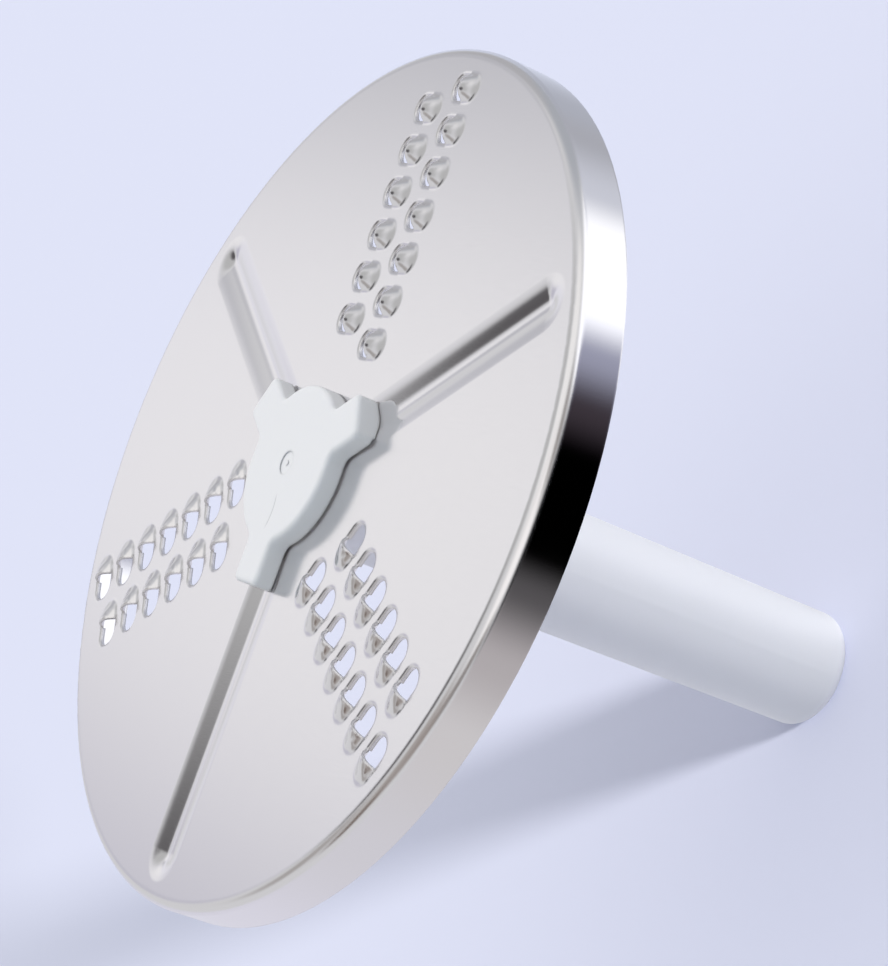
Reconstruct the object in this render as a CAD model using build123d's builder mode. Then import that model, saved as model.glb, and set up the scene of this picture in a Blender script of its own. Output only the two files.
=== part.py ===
"""Food processor grating disc: a pressed steel disc clamped between a plastic hub cap and a drive stem."""
import os
from math import asin, cos, degrees, radians, sin

from build123d import *

os.makedirs("parts", exist_ok=True)

# Frame in millimetres: Z runs up the drive axis from the foot of the stem, one tooth group lies along +Y
plate_top = 123.0
group_count = 3

# Pressed sheet disc with a down-turned rim
disc_r = 85.0
sheet_t = 0.6
rim_depth = 10.0
corner_r = 2.2

# Lanced teeth: the clockwise half of each is raised and the other half is sunk
tooth_w = 6.8
tooth_rise = 1.7
tooth_shoulder_r = 1.4
tooth_half_length = 5.6
tooth_pitch = 8.49
long_row_count = 7
long_row_offset = 8.1
long_row_start = 25.6
short_row_count = 6
short_row_offset = -4.0
short_row_start = 29.8

# Stiffening grooves between the groups, each a smooth wave in section
groove_flank = 17.0
groove_shoulder_r = 15.6
groove_root_r = 5.8
groove_inner_end = 16.0
groove_outer_end = 81.5

# Hub cap with three arms keyed into the grooves
hub_r = 15.5
hub_rise = 4.2
hub_edge_r = 0.9
arm_w = 9.4
arm_reach = 23.6
arm_root_r = 2.5
arm_corner_r = 1.4
pad_rise = 0.35
pad_inset = 0.9
keel_gap = 0.12
dimple_r = 2.3
dimple_depth = 0.25
nib_r = 0.5
nib_rise = 0.15
spigot_r = 9.8
spigot_length = 8.0

# Drive stem that carries the disc on the spindle
stem_foot_r = 11.9
stem_root_r = 12.6
foot_edge_r = 3.0
flange_r = 15.4
flange_t = 2.6
flange_edge_r = 0.6
flange_root_r = 1.4
bore_r = 7.0
bore_depth = 100.0
keyway_count = 3
keyway_w = 2.6
keyway_depth = 1.2
keyway_length = 32.0

# Fits between the pieces
press_gap = 0.05
hole_gap = 0.2
socket_floor_gap = 0.5

# Reach of a cut past the sheet, and how far a blend dips past a face so that the two cross cleanly
cut_over = 0.4
skim = 0.01

# Sizes that follow from the ones above
plate_under = plate_top - sheet_t
mid_sheet = -sheet_t / 2
tooth_half_w = tooth_w / 2
tooth_arcs_r = (tooth_half_w**2 + tooth_rise**2) / (2 * tooth_rise)
tooth_lean = degrees(asin(tooth_half_w / tooth_arcs_r))
dome_r = tooth_arcs_r - tooth_shoulder_r
tooth_run = tooth_half_length - tooth_half_w
groove_arcs_r = groove_shoulder_r + groove_root_r
groove_half_w = groove_arcs_r * sin(radians(groove_flank))
groove_depth = groove_arcs_r * (1 - cos(radians(groove_flank)))
groove_start = groove_inner_end + groove_half_w
groove_run = groove_outer_end - groove_half_w - groove_start
long_row = [(long_row_offset, long_row_start + k * tooth_pitch, plate_top) for k in range(long_row_count)]
short_row = [(short_row_offset, short_row_start + k * tooth_pitch, plate_top) for k in range(short_row_count)]


def scoop(inset, floor):
    """Raised half of a tooth shrunk by inset: an arched run from the mouth, ending in a rounded tail."""
    with BuildPart() as shape:
        with BuildSketch(Plane.YZ.offset(tooth_run)) as section:
            with BuildLine():
                crown = CenterArc(
                    (0, tooth_rise - dome_r - skim), dome_r - inset, 90 - tooth_lean, tooth_lean
                )
                foot = CenterArc(
                    (tooth_half_w, tooth_shoulder_r - skim),
                    tooth_shoulder_r + inset,
                    270 - tooth_lean,
                    tooth_lean,
                )
                Polyline(foot @ 1, (tooth_half_w, floor), (0, floor), crown @ 1)
            make_face()
        extrude(amount=-tooth_run)
        mirror(about=Plane.XZ)
        revolve(section.sketch, axis=Axis((tooth_run, 0, 0), (0, 0, -1)), revolution_arc=180)
    return shape.part


def whole_tooth(half):
    """A raised half and its copy turned over about the mouth, which is the sunk half."""
    with BuildPart() as shape:
        add(half)
        add(half.rotate(Axis((0, 0, mid_sheet), (0, 1, 0)), 180))
    return shape.part


def trough(inset, level):
    """A groove along -Y lowered by inset and closed up to the given level, with rounded ends."""
    with BuildPart() as shape:
        with BuildSketch(Plane.XZ.offset(groove_start)) as section:
            with BuildLine():
                root = CenterArc(
                    (0, groove_root_r - groove_depth + skim), groove_root_r + inset, 270, groove_flank
                )
                shoulder = CenterArc(
                    (groove_half_w, skim - groove_shoulder_r), groove_shoulder_r - inset, 90, groove_flank
                )
                Polyline(shoulder @ 0, (groove_half_w, level), (0, level), root @ 0)
            make_face()
        extrude(amount=groove_run)
        mirror(about=Plane.YZ)
        revolve(section.sketch, axis=Axis((0, -groove_start, 0), (0, 0, 1)), revolution_arc=180)
        revolve(
            Pos(0, -groove_run, 0) * section.sketch,
            axis=Axis((0, -groove_start - groove_run, 0), (0, 0, -1)),
            revolution_arc=180,
        )
    return shape.part


# Skins that stand out of the sheet, and hollows that are cut back into them
tooth_skin = whole_tooth(scoop(0, mid_sheet))
tooth_hollow = whole_tooth(scoop(sheet_t, -sheet_t - cut_over))
groove_skin = trough(sheet_t, mid_sheet)
groove_hollow = trough(0, cut_over)

# Inside of the plain pan
with BuildPart() as pan_inside:
    with BuildSketch(Plane.XY.offset(plate_under)):
        Circle(disc_r - sheet_t)
    extrude(amount=-rim_depth)
    fillet(pan_inside.edges().sort_by(Axis.Z)[-1], corner_r - sheet_t)

# The grating disc
with BuildPart() as grating_disc:
    with BuildSketch(Plane.XY.offset(plate_top)):
        Circle(disc_r)
    extrude(amount=-rim_depth)
    fillet(grating_disc.edges().sort_by(Axis.Z)[-1], corner_r)
    add(pan_inside.part, mode=Mode.SUBTRACT)
    with PolarLocations(0, group_count):
        with Locations((0, 0, plate_top)):
            add(groove_skin)
        with Locations(*long_row, *short_row):
            add(tooth_skin)
        with Locations((0, 0, plate_top)):
            add(groove_hollow, mode=Mode.SUBTRACT)
        with Locations(*long_row, *short_row):
            add(tooth_hollow, mode=Mode.SUBTRACT)
    with BuildSketch(Plane.XY.offset(plate_top)):
        Circle(spigot_r + hole_gap)
    extrude(amount=-sheet_t, mode=Mode.SUBTRACT)
grating_disc.part.label = "grating_disc"
export_step(grating_disc.part, "parts/grating_disc.step")

# Keel under an arm: it lies in the inner end of a groove, narrower than the arm and flush with its end
with BuildPart() as keel:
    add(trough(-keel_gap, pad_rise))
    with BuildSketch(Plane.XY.offset(pad_rise)):
        with Locations((0, -arm_reach)):
            Rectangle(arm_w - 2 * pad_inset, arm_reach, align=(Align.CENTER, Align.MIN))
    extrude(amount=-pad_rise - groove_depth, mode=Mode.INTERSECT)

# The hub cap: raised body, inset pad, keels and spigot
with BuildPart() as hub_cap:
    with BuildSketch(Plane.XY.offset(plate_top + pad_rise)) as hub_outline:
        Circle(hub_r)
        with PolarLocations(0, group_count, start_angle=-90):
            Rectangle(arm_reach, arm_w, align=(Align.MIN, Align.CENTER))
        tips = hub_outline.vertices().filter_by(lambda v: (v.X**2 + v.Y**2) ** 0.5 > arm_reach)
        fillet(tips, arm_corner_r)
        roots = hub_outline.vertices().filter_by(lambda v: (v.X**2 + v.Y**2) ** 0.5 < hub_r + skim)
        fillet(roots, arm_root_r)
    extrude(amount=hub_rise - pad_rise)
    fillet(hub_cap.faces().sort_by(Axis.Z)[-1].edges(), hub_edge_r)
    with BuildSketch(Plane.XY.offset(plate_top)):
        Circle(hub_r - pad_inset)
    extrude(amount=pad_rise)
    with PolarLocations(0, group_count):
        with Locations((0, 0, plate_top)):
            add(keel.part)
    with BuildSketch(Plane.XY.offset(plate_top)):
        Circle(spigot_r)
    extrude(amount=-spigot_length)
    with BuildSketch(Plane.XY.offset(plate_top + hub_rise)):
        Circle(dimple_r)
    extrude(amount=-dimple_depth, mode=Mode.SUBTRACT)
    with BuildSketch(Plane.XY.offset(plate_top + hub_rise - dimple_depth)):
        Circle(nib_r)
    extrude(amount=nib_rise)
hub_cap.part.label = "hub_cap"
export_step(hub_cap.part, "parts/hub_cap.step")

# The drive stem: tapered column, clamping flange, spigot socket and keyed spindle bore
with BuildPart() as drive_stem:
    with BuildSketch(Plane.XZ):
        with BuildLine():
            Polyline((0, 0), (stem_foot_r, 0), (stem_root_r, plate_under), (0, plate_under), close=True)
        make_face()
    revolve(axis=Axis.Z)
    fillet(drive_stem.edges().sort_by(Axis.Z)[0], foot_edge_r)
    with BuildSketch(Plane.XY.offset(plate_under)):
        Circle(flange_r)
    extrude(amount=-flange_t)
    flange_steps = drive_stem.edges().filter_by(GeomType.CIRCLE).group_by(Axis.Z)[-2]
    fillet(flange_steps.sort_by(SortBy.RADIUS)[0], flange_root_r)
    flange_edges = drive_stem.edges().filter_by(GeomType.CIRCLE).group_by(SortBy.RADIUS)[-1]
    fillet(flange_edges.sort_by(Axis.Z)[0], flange_edge_r)
    with BuildSketch(Plane.XY.offset(plate_under)):
        Circle(spigot_r + press_gap)
    extrude(amount=-(spigot_length - sheet_t + socket_floor_gap), mode=Mode.SUBTRACT)
    with BuildSketch(Plane.XY):
        Circle(bore_r)
    extrude(amount=bore_depth, mode=Mode.SUBTRACT)
    with BuildSketch(Plane.XY):
        with PolarLocations(0, keyway_count, start_angle=90):
            Rectangle(bore_r + keyway_depth, keyway_w, align=(Align.MIN, Align.CENTER))
    extrude(amount=keyway_length, mode=Mode.SUBTRACT)
drive_stem.part.label = "drive_stem"
export_step(drive_stem.part, "parts/drive_stem.step")
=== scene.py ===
"""Dresses a packed food processor grating disc: steel plate, white hub cap and stem, pale stage."""
import math
from array import array

import bpy
from bpy.props import FloatProperty, FloatVectorProperty, PointerProperty
from mathutils import Matrix, Vector


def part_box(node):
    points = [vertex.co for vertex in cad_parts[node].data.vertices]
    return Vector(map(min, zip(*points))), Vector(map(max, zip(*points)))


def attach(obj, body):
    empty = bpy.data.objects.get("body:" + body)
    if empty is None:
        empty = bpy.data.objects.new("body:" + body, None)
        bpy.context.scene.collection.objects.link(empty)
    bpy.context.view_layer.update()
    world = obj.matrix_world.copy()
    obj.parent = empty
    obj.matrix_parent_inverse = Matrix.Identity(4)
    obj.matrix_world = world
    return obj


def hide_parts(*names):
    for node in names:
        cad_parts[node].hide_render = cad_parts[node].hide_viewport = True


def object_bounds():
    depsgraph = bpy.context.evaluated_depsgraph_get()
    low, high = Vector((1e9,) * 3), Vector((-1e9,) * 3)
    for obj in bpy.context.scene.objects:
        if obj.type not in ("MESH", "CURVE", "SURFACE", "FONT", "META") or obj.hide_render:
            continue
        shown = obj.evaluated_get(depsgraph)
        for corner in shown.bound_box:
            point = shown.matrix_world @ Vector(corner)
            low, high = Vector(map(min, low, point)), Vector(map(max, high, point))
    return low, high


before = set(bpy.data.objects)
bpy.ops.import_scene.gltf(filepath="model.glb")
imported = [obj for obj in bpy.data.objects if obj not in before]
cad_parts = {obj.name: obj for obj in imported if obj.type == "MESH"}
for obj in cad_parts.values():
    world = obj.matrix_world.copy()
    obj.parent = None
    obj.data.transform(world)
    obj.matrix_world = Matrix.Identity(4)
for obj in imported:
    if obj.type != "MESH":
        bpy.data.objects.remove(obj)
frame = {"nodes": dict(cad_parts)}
CAD_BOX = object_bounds()

bl_info = {
    "name": "Grating Disc",
    "version": (1, 0, 0),
    "blender": (4, 5, 0),
    "location": "View3D > Sidebar > Grating Disc",
    "description": "Finishes a food processor grating disc and sets its studio",
    "category": "Object",
}

# The pressed sheet, in metres
SHEET = 0.0006
PLATE_TOP = 0.123
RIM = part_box("grating_disc")[1].x
RIM_BAND = 0.003
RIM_EDGE = RIM - RIM_BAND
CORNER = 0.0022
CORNER_RING = RIM - CORNER

# The teeth, in metres: each row's place across its group, its first radius and its number of teeth
TOOTH_ROWS = ((0.0081, 0.0256, 7), (-0.0040, 0.0298, 6))
TOOTH_PITCH = 0.00849
GROUP_TURNS = (0, 120, 240)
HOOD_LENGTH, HOOD_WIDTH, HOOD_HEIGHT = 0.0057, 0.0072, 0.0025
HOOD_FALL, HOOD_TAIL = 0.0046, 0.30  # where a hood's fall ends, and the share of its height left there
HOOD_CUTS, HOOD_LONG_EDGE = 4, 0.001

# The bar that cuts a mouth, in metres: its drop is from the plate's top to its middle
BAR_SIDES = 48
BAR_HEIGHT, BAR_DROP, BAR_EDGE = 0.0045, 0.0018, 0.00002

# Facets of the rim's rounded corner: how far they may lie off it, and the rise of their normals at its ends
CORNER_CUTS = 2
CORNER_SAG, CORNER_SLACK = 0.0002, 0.00001
CORNER_END_RISES = (0.002, 0.9995)

# Meshing: spots this near are one, a move this small is none, and an edge past this angle is sharp
SAME_SPOT, NO_MOVE = 1e-6, 1e-7
SHARP_ANGLE = math.radians(40)
KEPT_NORMAL = "kept_normal"

# Steel, by how upright a face's normal is: where each finish begins and where it is whole
FLAT_FACE = (0.97, 0.999)
RUBBED_CORNER = (0.02, 0.2)
SHEARED_EDGE = (0.4, 0.15)
GRAIN_STRETCH, GRAIN_SCALE, GRAIN_DETAIL = (40, 900, 900), 6, 4
GRAIN_SPREAD, GRAIN_BUMP = 0.1, 0.03
STEEL_EASE = 0.0006

# White plastic, in metres where it is a length
MOULD_SCALE, MOULD_SPREAD, MOULD_BUMP = 900, 0.04, 0.04
PLASTIC_EASE = 0.0009
SCRATCH_MIDDLE, SCRATCH_BOW = (0.0014, -0.0095), 60
SCRATCH_HALF_WIDTH, SCRATCH_HALF_LENGTH = (0.00005, 0.00026), (0.0022, 0.0038)
SCRATCH_SHADE = 0.72

# Both textures: the part of the noise that counts, and the height of the bumps
NOISE_LOW, NOISE_HIGH = 0.3, 0.7
BUMP_HEIGHT = 0.0001
EASE_SAMPLES = 6

# The stage, in metres
FLOOR_SIZE = 8
CARD_RADIUS, CARD_SIDES, CARD_LIFT = 3.9, 96, 0.0005
CAMERA_NEAR, CAMERA_FAR = 0.01, 50

# The lamps: name, the piece lit, where the lamp stands, its width in degrees, its strength, its colour
LAMPS = (
    ("table_light", "floor", (0.91, 0.41, 0.21), 7, 5.0, (1.0, 0.99, 0.97)),
    ("window_light", "drive_stem", (0.60, 0.78, 0.12), 25, 1.45, (1.0, 1.0, 0.99)),
    ("ceiling_light", "hub_cap", (-0.35, 0.40, 0.85), 40, 0.75, (1.0, 1.0, 1.0)),
    ("room_light", "hub_cap", (0.80, -0.40, 0.05), 40, 0.27, (0.55, 0.85, 1.0)),
)

# The studio as bright faces mirror it: where to look, near and far angle of the patch, colour
STUDIO_BASE = (0.70, 0.70, 0.715)
STUDIO_PATCHES = (
    ((0.15, 0.45, 0.88), 14, 32, (0.95, 0.94, 0.93)),
    ((0.50, 0.10, 0.86), 12, 26, (0.90, 0.88, 0.87)),
    ((0.69, -0.05, 0.72), 12, 26, (1.05, 1.03, 1.02)),
    ((0.73, 0.42, 0.53), 4, 20, (0.36, 0.34, 0.33)),
    ((0.05, -0.60, 0.80), 10, 23, (0.43, 0.40, 0.38)),
    ((0.25, -0.68, 0.69), 6, 18, (0.38, 0.345, 0.33)),
    ((-0.50, -0.52, 0.69), 6, 18, (0.42, 0.40, 0.39)),
    ((0.48, -0.66, 0.58), 6, 17, (0.34, 0.30, 0.28)),
    ((0.73, -0.51, 0.46), 7, 17, (0.28, 0.26, 0.25)),
    ((-0.05, -0.77, 0.63), 4, 12, (0.17, 0.13, 0.11)),
    ((-0.46, 0.86, 0.21), 14, 40, (0.44, 0.46, 0.50)),
    ((-0.80, 0.55, 0.26), 9, 20, (0.47, 0.47, 0.49)),
    ((-0.91, 0.34, -0.22), 6, 14, (0.72, 0.75, 0.84)),
    ((0.48, 0.88, 0.03), 17, 30, (1.25, 1.26, 1.30)),
    ((0.97, 0.03, -0.24), 22, 42, (0.0, 0.0, 0.0)),
    ((-0.925, 0.03, 0.38), 2, 16, (0.86, 0.855, 0.92)),
    ((-0.88, 0.28, 0.38), 5, 12, (0.52, 0.52, 0.56)),
    ((-0.91, -0.14, 0.40), 3, 11, (0.58, 0.57, 0.65)),
    ((-0.55, 0.05, 0.83), 12, 22, (0.53, 0.53, 0.53)),
    ((-0.888, 0.050, 0.457), 1.5, 8, (0.94, 0.93, 0.94)),
)

# A dark patch of the studio, held to one side of it: where it begins and where it is whole
SHADE_PLACE, SHADE_NEAR, SHADE_FAR = (-0.64, -0.036, 0.767), 9.5, 14.5
SHADE_SIDE = (0.04, -0.08)
SHADE_COLOUR = (0.105, 0.10, 0.105)

# The studio as matt faces take its light, and as the camera sees it
SOFT_PLACE, SOFT_NEAR, SOFT_FAR = (-0.65, 0.30, 0.70), 20, 105
STUDIO_SOFT = (0.41, 0.45, 0.49)
STUDIO_SOFT_LIT = (0.92, 0.92, 0.93)
STUDIO_SEEN = (0.71, 0.735, 0.87)

# The card round the foot that only mirror-like faces see: angle round the axis in degrees, colour
CARD_STOPS = (
    (-180, (0.66, 0.66, 0.74)),
    (-120, (0.76, 0.75, 0.84)),
    (-80, (0.71, 0.70, 0.75)),
    (-44, (0.68, 0.66, 0.67)),
    (-26, (0.50, 0.47, 0.48)),
    (-10, (0.10, 0.095, 0.10)),
    (-2, (0.0, 0.0, 0.0)),
    (20, (0.0, 0.0, 0.0)),
    (30, (0.05, 0.04, 0.05)),
    (42, (0.36, 0.37, 0.48)),
    (52, (1.25, 1.27, 1.35)),
    (72, (1.25, 1.26, 1.30)),
    (84, (0.66, 0.68, 0.76)),
    (104, (0.45, 0.46, 0.51)),
    (118, (0.46, 0.48, 0.55)),
    (150, (0.68, 0.72, 0.85)),
    (180, (0.66, 0.66, 0.74)),
)


class DiscFinish(bpy.types.PropertyGroup):
    """Finish of the pressed steel disc."""

    steel_colour: FloatVectorProperty(
        name="Steel", description="Colour of the bare sheet", subtype="COLOR", size=3,
        default=(0.84, 0.83, 0.84), min=0, max=1,
    )
    satin_roughness: FloatProperty(
        name="Satin roughness", description="Roughness of the flat faces", default=0.17, min=0, max=1,
    )
    polish_roughness: FloatProperty(
        name="Polished roughness", description="Roughness where the sheet was drawn",
        default=0.07, min=0, max=1,
    )
    sheared_roughness: FloatProperty(
        name="Sheared roughness", description="Roughness of the cut edges", default=0.4, min=0, max=1,
    )


class ToothMouths(bpy.types.PropertyGroup):
    """Openings of the teeth."""

    reach: FloatProperty(
        name="Mouth reach", description="How far a mouth runs back from the cutting edge",
        unit="LENGTH", default=0.0048, min=0,
    )
    width: FloatProperty(
        name="Mouth width", description="Width of a mouth", unit="LENGTH", default=0.0051, min=0,
    )


class PlasticFinish(bpy.types.PropertyGroup):
    """Finish of the two white mouldings."""

    hub_colour: FloatVectorProperty(
        name="Hub", description="Colour of the hub cap", subtype="COLOR", size=3,
        default=(0.86, 0.86, 0.87), min=0, max=1,
    )
    hub_roughness: FloatProperty(
        name="Hub roughness", description="Roughness of the hub cap", default=0.35, min=0, max=1,
    )
    stem_colour: FloatVectorProperty(
        name="Stem", description="Colour of the drive stem", subtype="COLOR", size=3,
        default=(0.82, 0.82, 0.83), min=0, max=1,
    )
    stem_roughness: FloatProperty(
        name="Stem roughness", description="Roughness of the drive stem", default=0.42, min=0, max=1,
    )


class StageSetting(bpy.types.PropertyGroup):
    """Camera and floor."""

    camera_place: FloatVectorProperty(
        name="Camera place", description="Where the camera stands", subtype="TRANSLATION",
        unit="LENGTH", size=3, default=(0.58454, -0.03458, 0.40797),
    )
    camera_aim: FloatVectorProperty(
        name="Camera aim", description="Point that the camera looks at", subtype="TRANSLATION",
        unit="LENGTH", size=3, default=(0.00053, 0.0074, 0.09484),
    )
    camera_roll: FloatProperty(
        name="Camera roll", description="Turn of the camera about its line of sight", subtype="ANGLE",
        default=math.radians(-68.01),
    )
    camera_lens: FloatProperty(
        name="Lens", description="Focal length in millimetres on a 36 mm sensor", default=130.3, min=1,
    )
    floor_colour: FloatVectorProperty(
        name="Floor", description="Colour of the floor", subtype="COLOR", size=3,
        default=(0.70, 0.72, 0.86), min=0, max=1,
    )


# Nodes that the finishes and the studio share
def new_material(name):
    """A new node material with its shader, as (material, node tree, shader)."""
    material = bpy.data.materials.new(name)
    material.use_nodes = True
    tree = material.node_tree
    return material, tree, tree.nodes["Principled BSDF"]


def add_node(tree, kind, **settings):
    """A new node with its properties set by name."""
    node = tree.nodes.new(kind)
    for key, value in settings.items():
        setattr(node, key, value)
    return node


def object_coordinates(tree, scale=(1, 1, 1)):
    """Object coordinates of the piece, stretched by scale."""
    place = add_node(tree, "ShaderNodeTexCoord")
    mapping = add_node(tree, "ShaderNodeMapping")
    mapping.inputs["Scale"].default_value = scale
    tree.links.new(place.outputs["Object"], mapping.inputs["Vector"])
    return mapping.outputs["Vector"]


def noise(tree, vector, scale, detail=3.0):
    """A noise value between 0 and 1."""
    node = add_node(tree, "ShaderNodeTexNoise")
    node.inputs["Scale"].default_value = scale
    node.inputs["Detail"].default_value = detail
    tree.links.new(vector, node.inputs["Vector"])
    return node.outputs["Fac"]


def map_value(tree, value, low, high, to_low, to_high, smooth=False):
    """The value carried from one range to another and held at its ends."""
    node = add_node(tree, "ShaderNodeMapRange")
    if smooth:
        node.interpolation_type = "SMOOTHSTEP"
    node.inputs["From Min"].default_value = low
    node.inputs["From Max"].default_value = high
    node.inputs["To Min"].default_value = to_low
    node.inputs["To Max"].default_value = to_high
    tree.links.new(value, node.inputs["Value"])
    return node.outputs["Result"]


def join(tree, operation, first, second):
    """Two values, or a value and a number, joined by a Math node."""
    node = add_node(tree, "ShaderNodeMath", operation=operation)
    for socket, value in zip(node.inputs, (first, second)):
        if isinstance(value, (int, float)):
            socket.default_value = value
        else:
            tree.links.new(value, socket)
    return node.outputs["Value"]


def blend_value(tree, factor, first, second):
    """One value or number laid over another by a factor."""
    node = add_node(tree, "ShaderNodeMix")
    tree.links.new(factor, node.inputs["Factor"])
    for socket, value in ((node.inputs["A"], first), (node.inputs["B"], second)):
        if isinstance(value, float):
            socket.default_value = value
        else:
            tree.links.new(value, socket)
    return node.outputs["Result"]


def blend_colour(tree, factor, first, second):
    """One colour or socket laid over another by a factor."""
    node = add_node(tree, "ShaderNodeMix", data_type="RGBA")
    tree.links.new(factor, node.inputs["Factor"])
    for socket, value in ((node.inputs[6], first), (node.inputs[7], second)):
        if isinstance(value, tuple):
            socket.default_value = (*value, 1)
        else:
            tree.links.new(value, socket)
    return node.outputs[2]


def put_bumps(tree, shader, texture, strength, ease):
    """Fine bumps from a texture, over normals that are eased across the edges by a radius in metres."""
    eased = add_node(tree, "ShaderNodeBevel", samples=EASE_SAMPLES)
    eased.inputs["Radius"].default_value = ease
    bump = add_node(tree, "ShaderNodeBump")
    bump.inputs["Strength"].default_value = strength
    bump.inputs["Distance"].default_value = BUMP_HEIGHT
    tree.links.new(texture, bump.inputs["Height"])
    tree.links.new(eased.outputs["Normal"], bump.inputs["Normal"])
    tree.links.new(bump.outputs["Normal"], shader.inputs["Normal"])


# Finishes
def dress(piece, material):
    """Puts one finish on a piece."""
    piece.data.materials.clear()
    piece.data.materials.append(material)


def past_radius(tree, radius):
    """1 outside a radius about the axis and 0 inside it."""
    flat = object_coordinates(tree, (1, 1, 0))
    length = add_node(tree, "ShaderNodeVectorMath", operation="LENGTH")
    tree.links.new(flat, length.inputs[0])
    return join(tree, "GREATER_THAN", length.outputs["Value"], radius)


def steel_material(finish):
    """Satin sheet that is polished where the press stretched it and rough where it was cut."""
    material, tree, shader = new_material("pressed_steel")
    shader.inputs["Base Color"].default_value = (*finish.steel_colour, 1)
    shader.inputs["Metallic"].default_value = 1
    normal = add_node(tree, "ShaderNodeNewGeometry")
    split = add_node(tree, "ShaderNodeSeparateXYZ")
    tree.links.new(normal.outputs["Normal"], split.inputs["Vector"])
    upright = join(tree, "ABSOLUTE", split.outputs["Z"], 0)
    on_rim = past_radius(tree, RIM_EDGE)
    flat = map_value(tree, upright, *FLAT_FACE, 0, 1, smooth=True)
    rubbed = join(tree, "MULTIPLY", map_value(tree, upright, *RUBBED_CORNER, 0, 1), on_rim)
    worn = join(tree, "MAXIMUM", flat, rubbed)
    grain = noise(tree, object_coordinates(tree, GRAIN_STRETCH), GRAIN_SCALE, GRAIN_DETAIL)
    smoothest = finish.satin_roughness * (1 - GRAIN_SPREAD)
    roughest = finish.satin_roughness * (1 + GRAIN_SPREAD)
    satin = map_value(tree, grain, NOISE_LOW, NOISE_HIGH, smoothest, roughest)
    cut = map_value(tree, upright, *SHEARED_EDGE, finish.polish_roughness, finish.sheared_roughness)
    drawn = blend_value(tree, on_rim, cut, finish.polish_roughness)
    tree.links.new(blend_value(tree, worn, drawn, satin), shader.inputs["Roughness"])
    put_bumps(tree, shader, grain, GRAIN_BUMP, STEEL_EASE)
    return material


def scratch_mask(tree):
    """1 on a fine bowed scratch in the hub's top and 0 beside it."""
    place = add_node(tree, "ShaderNodeSeparateXYZ")
    tree.links.new(object_coordinates(tree), place.inputs["Vector"])
    along = join(tree, "SUBTRACT", place.outputs["Y"], SCRATCH_MIDDLE[1])
    bow = join(tree, "MULTIPLY", join(tree, "MULTIPLY", along, along), SCRATCH_BOW)
    aside = join(tree, "ADD", join(tree, "SUBTRACT", place.outputs["X"], SCRATCH_MIDDLE[0]), bow)
    line = map_value(tree, join(tree, "ABSOLUTE", aside, 0), *SCRATCH_HALF_WIDTH, 1, 0, smooth=True)
    reach = map_value(tree, join(tree, "ABSOLUTE", along, 0), *SCRATCH_HALF_LENGTH, 1, 0, smooth=True)
    return join(tree, "MULTIPLY", line, reach)


def plastic_material(name, colour, roughness, scratched=False):
    """White moulded plastic, faintly translucent, with a soft moulded texture."""
    material, tree, shader = new_material(name)
    shader.inputs["Base Color"].default_value = (*colour, 1)
    if scratched:
        shaded = tuple(SCRATCH_SHADE * part for part in colour)
        worn = blend_colour(tree, scratch_mask(tree), tuple(colour), shaded)
        tree.links.new(worn, shader.inputs["Base Color"])
    shader.inputs["Subsurface Weight"].default_value = 0.15
    shader.inputs["Subsurface Radius"].default_value = (0.002, 0.002, 0.0022)
    shader.inputs["Subsurface Scale"].default_value = 1.0
    texture = noise(tree, object_coordinates(tree), MOULD_SCALE)
    smoothest, roughest = roughness - MOULD_SPREAD, roughness + MOULD_SPREAD
    rough = map_value(tree, texture, NOISE_LOW, NOISE_HIGH, smoothest, roughest)
    tree.links.new(rough, shader.inputs["Roughness"])
    put_bumps(tree, shader, texture, MOULD_BUMP, PLASTIC_EASE)
    return material


def card_material():
    """Shades of the card, laid out by the angle round the axis."""
    material, tree, shader = new_material("card")
    place = add_node(tree, "ShaderNodeSeparateXYZ")
    tree.links.new(object_coordinates(tree), place.inputs["Vector"])
    angle = join(tree, "ARCTAN2", place.outputs["Y"], place.outputs["X"])
    ramp = add_node(tree, "ShaderNodeValToRGB")
    ramp.color_ramp.interpolation = "EASE"
    stops = ramp.color_ramp.elements
    while len(stops) < len(CARD_STOPS):
        stops.new(0.5)
    for stop, (turn, colour) in zip(stops, CARD_STOPS):
        stop.position = turn / 360 + 0.5
        stop.color = (*colour, 1)
    tree.links.new(map_value(tree, angle, -math.pi, math.pi, 0, 1), ramp.inputs["Fac"])
    tree.links.new(ramp.outputs["Color"], shader.inputs["Emission Color"])
    shader.inputs["Emission Strength"].default_value = 1
    shader.inputs["Base Color"].default_value = (0, 0, 0, 1)
    shader.inputs["Specular IOR Level"].default_value = 0
    return material


def floor_material(colour):
    """Pale matt floor."""
    material, tree, shader = new_material("pale_floor")
    shader.inputs["Base Color"].default_value = (*colour, 1)
    shader.inputs["Roughness"].default_value = 0.9
    shader.inputs["Specular IOR Level"].default_value = 0.1
    return material


# Steps in edit mode, as by hand
def clear_choice(kind):
    """Deselects the whole active mesh and says whether vertices, edges or faces are selected next."""
    bpy.ops.object.mode_set(mode="EDIT")
    bpy.ops.mesh.select_all(action="DESELECT")
    bpy.ops.mesh.select_mode(type=kind)
    bpy.ops.object.mode_set(mode="OBJECT")


def divide_choice(cuts):
    """Divides what is selected in the active mesh, and goes back to selecting vertices."""
    bpy.ops.object.mode_set(mode="EDIT")
    bpy.ops.mesh.subdivide(number_cuts=cuts)
    bpy.ops.mesh.select_mode(type="VERT")
    bpy.ops.object.mode_set(mode="OBJECT")


# The opened disc
def tooth_places():
    """Where each tooth stands on the disc."""
    places = []
    for turn in GROUP_TURNS:
        spin = Matrix.Rotation(math.radians(turn), 4, "Z")
        for across, first, count in TOOTH_ROWS:
            for step in range(count):
                places.append(spin @ Matrix.Translation((across, first + step * TOOTH_PITCH, 0)))
    return places


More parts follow.
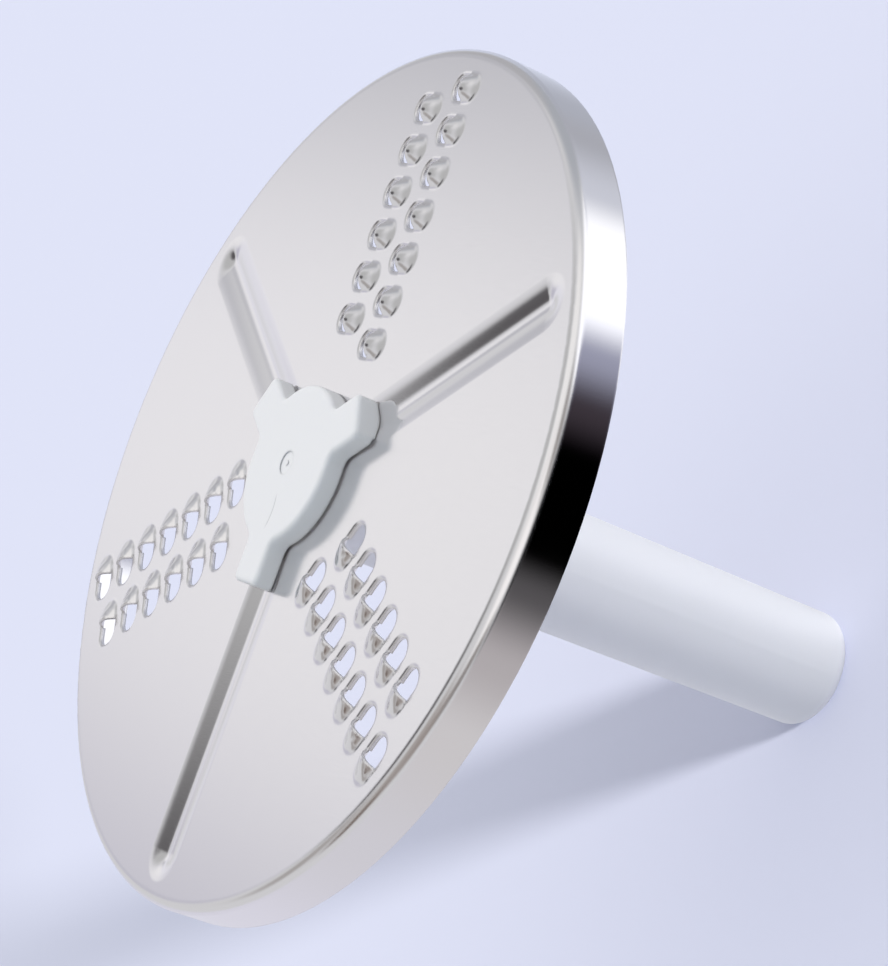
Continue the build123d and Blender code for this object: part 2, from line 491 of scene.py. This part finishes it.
def mouth_cutter(mouths):
    """One upright bar in a tooth's own frame, round at its back and square at the cutting edge."""
    bpy.ops.object.select_all(action="DESELECT")
    back = mouths.width / 2 - mouths.reach
    bpy.ops.mesh.primitive_cylinder_add(
        vertices=BAR_SIDES, radius=mouths.width / 2, depth=BAR_HEIGHT,
        location=(back, 0, PLATE_TOP - BAR_DROP),
    )
    cutter = bpy.context.object
    bpy.ops.object.transform_apply(location=True, rotation=False, scale=False)
    clear_choice("VERT")
    for vertex in cutter.data.vertices:
        vertex.select = vertex.co.x > back + SAME_SPOT
    bpy.ops.object.mode_set(mode="EDIT")
    bpy.ops.transform.resize(value=(0, 1, 1), center_override=(BAR_EDGE, 0, 0))
    bpy.ops.object.mode_set(mode="OBJECT")
    return cutter


def cutter_set(mouths):
    """All the mouth cutters of the disc in one object."""
    first = mouth_cutter(mouths)
    for place in tooth_places():
        copy = bpy.data.objects.new("mouth", first.data.copy())
        copy.data.transform(place)
        bpy.context.scene.collection.objects.link(copy)
        copy.select_set(True)
        bpy.context.view_layer.objects.active = copy
    first.select_set(False)
    bpy.data.objects.remove(first)
    bpy.ops.object.join()
    return bpy.context.object


def copy_disc():
    """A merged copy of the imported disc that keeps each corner's normal as an attribute."""
    disc = frame["nodes"]["grating_disc"]
    sheet = bpy.data.objects.new("open_grating_disc", disc.data.copy())
    bpy.context.scene.collection.objects.link(sheet)
    corners = array("f", [0]) * (3 * len(sheet.data.loops))
    sheet.data.corner_normals.foreach_get("vector", corners)
    kept = sheet.data.attributes.new(KEPT_NORMAL, "FLOAT_VECTOR", "CORNER")
    kept.data.foreach_set("vector", corners)
    bpy.ops.object.select_all(action="DESELECT")
    sheet.select_set(True)
    bpy.context.view_layer.objects.active = sheet
    bpy.ops.object.mode_set(mode="EDIT")
    bpy.ops.mesh.select_all(action="SELECT")
    bpy.ops.mesh.remove_doubles(threshold=SAME_SPOT)
    bpy.ops.object.mode_set(mode="OBJECT")
    return sheet


def in_hood(spot):
    """Whether a spot in a tooth's own frame lies on its raised hood."""
    along = -SAME_SPOT < spot.x < HOOD_LENGTH
    return along and abs(spot.y) < HOOD_WIDTH / 2 and abs(spot.z - PLATE_TOP) < HOOD_HEIGHT


def hood_spots(sheet):
    """Each vertex of a hood, with the tooth's place and its spot in the tooth's own frame."""
    spots = {}
    for place in tooth_places():
        home = place.inverted()
        middle = place.translation
        for vertex in sheet.data.vertices:
            if abs(vertex.co.x - middle.x) < HOOD_LENGTH and abs(vertex.co.y - middle.y) < HOOD_LENGTH:
                spot = home @ vertex.co
                if in_hood(spot):
                    spots[vertex.index] = (place, spot)
    return spots


def slope_hoods(sheet):
    """Lowers the back of each hood, so that it climbs evenly to its cutting edge."""
    spots = hood_spots(sheet)
    clear_choice("EDGE")
    for edge in sheet.data.edges:
        ends = [spots[i][1] for i in edge.vertices if i in spots]
        edge.select = len(ends) == 2 and abs(ends[0].x - ends[1].x) > HOOD_LONG_EDGE
    divide_choice(HOOD_CUTS)
    moved = set()
    upward = [normal.vector.z > 0 for normal in sheet.data.vertex_normals]
    for index, (place, spot) in hood_spots(sheet).items():
        base = PLATE_TOP if upward[index] else PLATE_TOP - SHEET
        share = min(spot.x / HOOD_FALL, 1)
        keep = HOOD_TAIL + (1 - HOOD_TAIL) * math.cos(share * math.pi / 2) ** 2
        height = base + (spot.z - base) * keep
        if abs(height - spot.z) > NO_MOVE:
            spot.z = height
            sheet.data.vertices[index].co = place @ spot
            moved.add(index)
    kept = sheet.data.attributes[KEPT_NORMAL].data
    for face in sheet.data.polygons:
        if any(i in moved for i in face.vertices):
            for corner in face.loop_indices:
                kept[corner].vector = (0, 0, 0)


def on_corner(spot):
    """The outward direction at a spot on the rim's rounded corner, or None off it."""
    out = math.hypot(spot.x, spot.y)
    across, up = out - CORNER_RING, spot.z - (PLATE_TOP - CORNER)
    if min(across, up) < -CORNER_SLACK or abs(math.hypot(across, up) - CORNER) > CORNER_SAG:
        return None
    return Vector((spot.x / out * across, spot.y / out * across, up)).normalized()


def fair_rim(sheet):
    """Gives the rim's rounded corner finer facets and its true normals."""
    clear_choice("FACE")
    turned = [on_corner(vertex.co) for vertex in sheet.data.vertices]
    for face in sheet.data.polygons:
        face.select = all(turned[i] for i in face.vertices)
    divide_choice(CORNER_CUTS)
    turned = [on_corner(vertex.co) for vertex in sheet.data.vertices]
    kept = sheet.data.attributes[KEPT_NORMAL].data
    lowest, highest = CORNER_END_RISES
    for face in sheet.data.polygons:
        if all(turned[i] for i in face.vertices) and lowest < face.normal.z < highest:
            for corner, i in zip(face.loop_indices, face.vertices):
                kept[corner].vector = turned[i]


def cut_mouths(sheet, cutters):
    """Cuts the mouths through the sheet and marks its sharp edges."""
    cut = sheet.modifiers.new("mouths", "BOOLEAN")
    cut.operation = "DIFFERENCE"
    cut.solver = "EXACT"
    cut.object = cutters
    bpy.ops.object.modifier_apply(modifier=cut.name)
    bpy.data.objects.remove(cutters)
    bpy.ops.object.mode_set(mode="EDIT")
    bpy.ops.mesh.select_all(action="DESELECT")
    bpy.ops.mesh.edges_select_sharp(sharpness=SHARP_ANGLE)
    bpy.ops.mesh.mark_sharp()
    bpy.ops.object.mode_set(mode="OBJECT")


def put_back_normals(sheet):
    """Gives each corner of a face its kept normal again, or a fresh one where none was kept."""
    corners = array("f", [0]) * (3 * len(sheet.data.loops))
    sheet.data.attributes[KEPT_NORMAL].data.foreach_get("vector", corners)
    sheet.data.normals_split_custom_set([corners[i:i + 3] for i in range(0, len(corners), 3)])
    sheet.data.attributes.remove(sheet.data.attributes[KEPT_NORMAL])


def open_disc(mouths):
    """A copy of the disc with wider mouths, sloped hoods and a finer rim corner, which stands for it."""
    cutters = cutter_set(mouths)
    sheet = copy_disc()
    slope_hoods(sheet)
    fair_rim(sheet)
    cut_mouths(sheet, cutters)
    put_back_normals(sheet)
    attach(sheet, "root")
    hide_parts("grating_disc")
    return sheet


class OBJECT_OT_finish_disc(bpy.types.Operator):
    """Open the teeth of the pressed disc and give it its steel finish"""

    bl_idname = "object.finish_grating_disc"
    bl_label = "Finish Grating Disc"

    def execute(self, context):
        steel = steel_material(context.scene.disc_finish)
        dress(frame["nodes"]["grating_disc"], steel)
        dress(open_disc(context.scene.tooth_mouths), steel)
        return {"FINISHED"}


class OBJECT_OT_finish_mouldings(bpy.types.Operator):
    """Give the hub cap and the drive stem their white plastic"""

    bl_idname = "object.finish_white_mouldings"
    bl_label = "Finish White Mouldings"

    def execute(self, context):
        finish = context.scene.plastic_finish
        hub = plastic_material("hub_plastic", finish.hub_colour, finish.hub_roughness, scratched=True)
        dress(frame["nodes"]["hub_cap"], hub)
        stem = plastic_material("stem_plastic", finish.stem_colour, finish.stem_roughness)
        dress(frame["nodes"]["drive_stem"], stem)
        return {"FINISHED"}


# The stage
def add_floor(colour):
    """The pale floor under the foot."""
    bpy.ops.object.select_all(action="DESELECT")
    bpy.ops.mesh.primitive_plane_add(size=FLOOR_SIZE, location=(0, 0, CAD_BOX[0].z))
    floor = bpy.context.object
    floor.name = "floor"
    floor.data.materials.append(floor_material(colour))
    return floor


def add_card():
    """The shaded card on the floor, which only mirror-like faces see."""
    bpy.ops.object.select_all(action="DESELECT")
    bpy.ops.mesh.primitive_circle_add(
        vertices=CARD_SIDES, radius=CARD_RADIUS, fill_type="NGON",
        location=(0, 0, CAD_BOX[0].z + CARD_LIFT),
    )
    card = bpy.context.object
    card.name = "card"
    card.data.materials.append(card_material())
    card.visible_camera = False
    card.visible_diffuse = False
    card.visible_shadow = False
    card.visible_transmission = False


def add_camera(setting):
    """The camera at the photograph's viewing angle."""
    camera = bpy.data.objects.new("camera", bpy.data.cameras.new("camera"))
    bpy.context.scene.collection.objects.link(camera)
    camera.data.lens = setting.camera_lens
    place, aim = Vector(setting.camera_place), Vector(setting.camera_aim)
    level = (aim - place).to_track_quat("-Z", "Y").to_matrix()
    turn = level @ Matrix.Rotation(setting.camera_roll, 3, "Z")
    camera.matrix_world = Matrix.Translation(place) @ turn.to_4x4()
    camera.data.clip_start = CAMERA_NEAR
    camera.data.clip_end = CAMERA_FAR
    bpy.context.scene.camera = camera


def add_sun(name, piece, toward, spread, strength, colour):
    """A far lamp in a direction, of a width in degrees, that lights one object alone."""
    sun = bpy.data.lights.new(name, "SUN")
    sun.angle = math.radians(spread)
    sun.energy = strength
    sun.color = colour
    body = bpy.data.objects.new(name, sun)
    bpy.context.scene.collection.objects.link(body)
    body.matrix_world = Vector(toward).to_track_quat("Z", "Y").to_matrix().to_4x4()
    lit = bpy.data.collections.new(name + "_lit")
    lit.objects.link(piece)
    body.light_linking.receiver_collection = lit
    body.visible_glossy = False


def lobe(tree, direction, toward, near, far):
    """How far a direction turns to a point of the studio: 1 within the near angle, 0 past the far one."""
    dot = add_node(tree, "ShaderNodeVectorMath", operation="DOT_PRODUCT")
    dot.inputs[1].default_value = Vector(toward).normalized()
    tree.links.new(direction, dot.inputs[0])
    outer, inner = math.cos(math.radians(far)), math.cos(math.radians(near))
    return map_value(tree, dot.outputs["Value"], outer, inner, 0, 1, smooth=True)


def light_world(scene):
    """The studio round the object: patches for what mirrors them, a soft glow for matt faces."""
    world = bpy.data.worlds.new("studio")
    scene.world = world
    world.use_nodes = True
    tree = world.node_tree
    background = tree.nodes["Background"]
    ray = add_node(tree, "ShaderNodeLightPath")
    direction = add_node(tree, "ShaderNodeTexCoord").outputs["Generated"]
    part = add_node(tree, "ShaderNodeSeparateXYZ")
    tree.links.new(direction, part.inputs["Vector"])
    mirrored = STUDIO_BASE
    for toward, near, far, colour in STUDIO_PATCHES:
        mirrored = blend_colour(tree, lobe(tree, direction, toward, near, far), mirrored, colour)
    side = map_value(tree, part.outputs["Y"], *SHADE_SIDE, 0, 1, smooth=True)
    shade = join(tree, "MULTIPLY", lobe(tree, direction, SHADE_PLACE, SHADE_NEAR, SHADE_FAR), side)
    mirrored = blend_colour(tree, shade, mirrored, SHADE_COLOUR)
    lit = lobe(tree, direction, SOFT_PLACE, SOFT_NEAR, SOFT_FAR)
    soft = blend_colour(tree, lit, STUDIO_SOFT, STUDIO_SOFT_LIT)
    room = blend_colour(tree, ray.outputs["Is Glossy Ray"], soft, mirrored)
    seen = blend_colour(tree, ray.outputs["Is Camera Ray"], room, STUDIO_SEEN)
    tree.links.new(seen, background.inputs["Color"])
    background.inputs["Strength"].default_value = 1


class OBJECT_OT_set_stage(bpy.types.Operator):
    """Set the floor, the lamps and the camera"""

    bl_idname = "object.set_grating_disc_stage"
    bl_label = "Set Stage"

    def execute(self, context):
        setting = context.scene.stage_setting
        pieces = {"floor": add_floor(setting.floor_colour), **frame["nodes"]}
        add_card()
        light_world(context.scene)
        for name, piece, *lamp in LAMPS:
            add_sun(name, pieces[piece], *lamp)
        add_camera(setting)
        context.scene.view_settings.view_transform = "Standard"
        return {"FINISHED"}


class VIEW3D_PT_grating_disc(bpy.types.Panel):
    """Steps that finish the grating disc"""

    bl_label = "Grating Disc"
    bl_space_type = "VIEW_3D"
    bl_region_type = "UI"
    bl_category = "Grating Disc"

    def draw(self, context):
        scene = context.scene
        for group in (scene.disc_finish, scene.tooth_mouths, scene.plastic_finish, scene.stage_setting):
            box = self.layout.box()
            for name in group.__annotations__:
                box.prop(group, name)
        for step in STEPS:
            self.layout.operator(step.bl_idname)


STEPS = (OBJECT_OT_finish_disc, OBJECT_OT_finish_mouldings, OBJECT_OT_set_stage)
CLASSES = (DiscFinish, ToothMouths, PlasticFinish, StageSetting, *STEPS, VIEW3D_PT_grating_disc)


def register():
    for each in CLASSES:
        bpy.utils.register_class(each)
    bpy.types.Scene.disc_finish = PointerProperty(type=DiscFinish)
    bpy.types.Scene.tooth_mouths = PointerProperty(type=ToothMouths)
    bpy.types.Scene.plastic_finish = PointerProperty(type=PlasticFinish)
    bpy.types.Scene.stage_setting = PointerProperty(type=StageSetting)


def unregister():
    del bpy.types.Scene.stage_setting
    del bpy.types.Scene.plastic_finish
    del bpy.types.Scene.tooth_mouths
    del bpy.types.Scene.disc_finish
    for each in reversed(CLASSES):
        bpy.utils.unregister_class(each)


def main():
    register()
    bpy.ops.object.finish_grating_disc()
    bpy.ops.object.finish_white_mouldings()
    bpy.ops.object.set_grating_disc_stage()


if __name__ == "__main__":
    main()
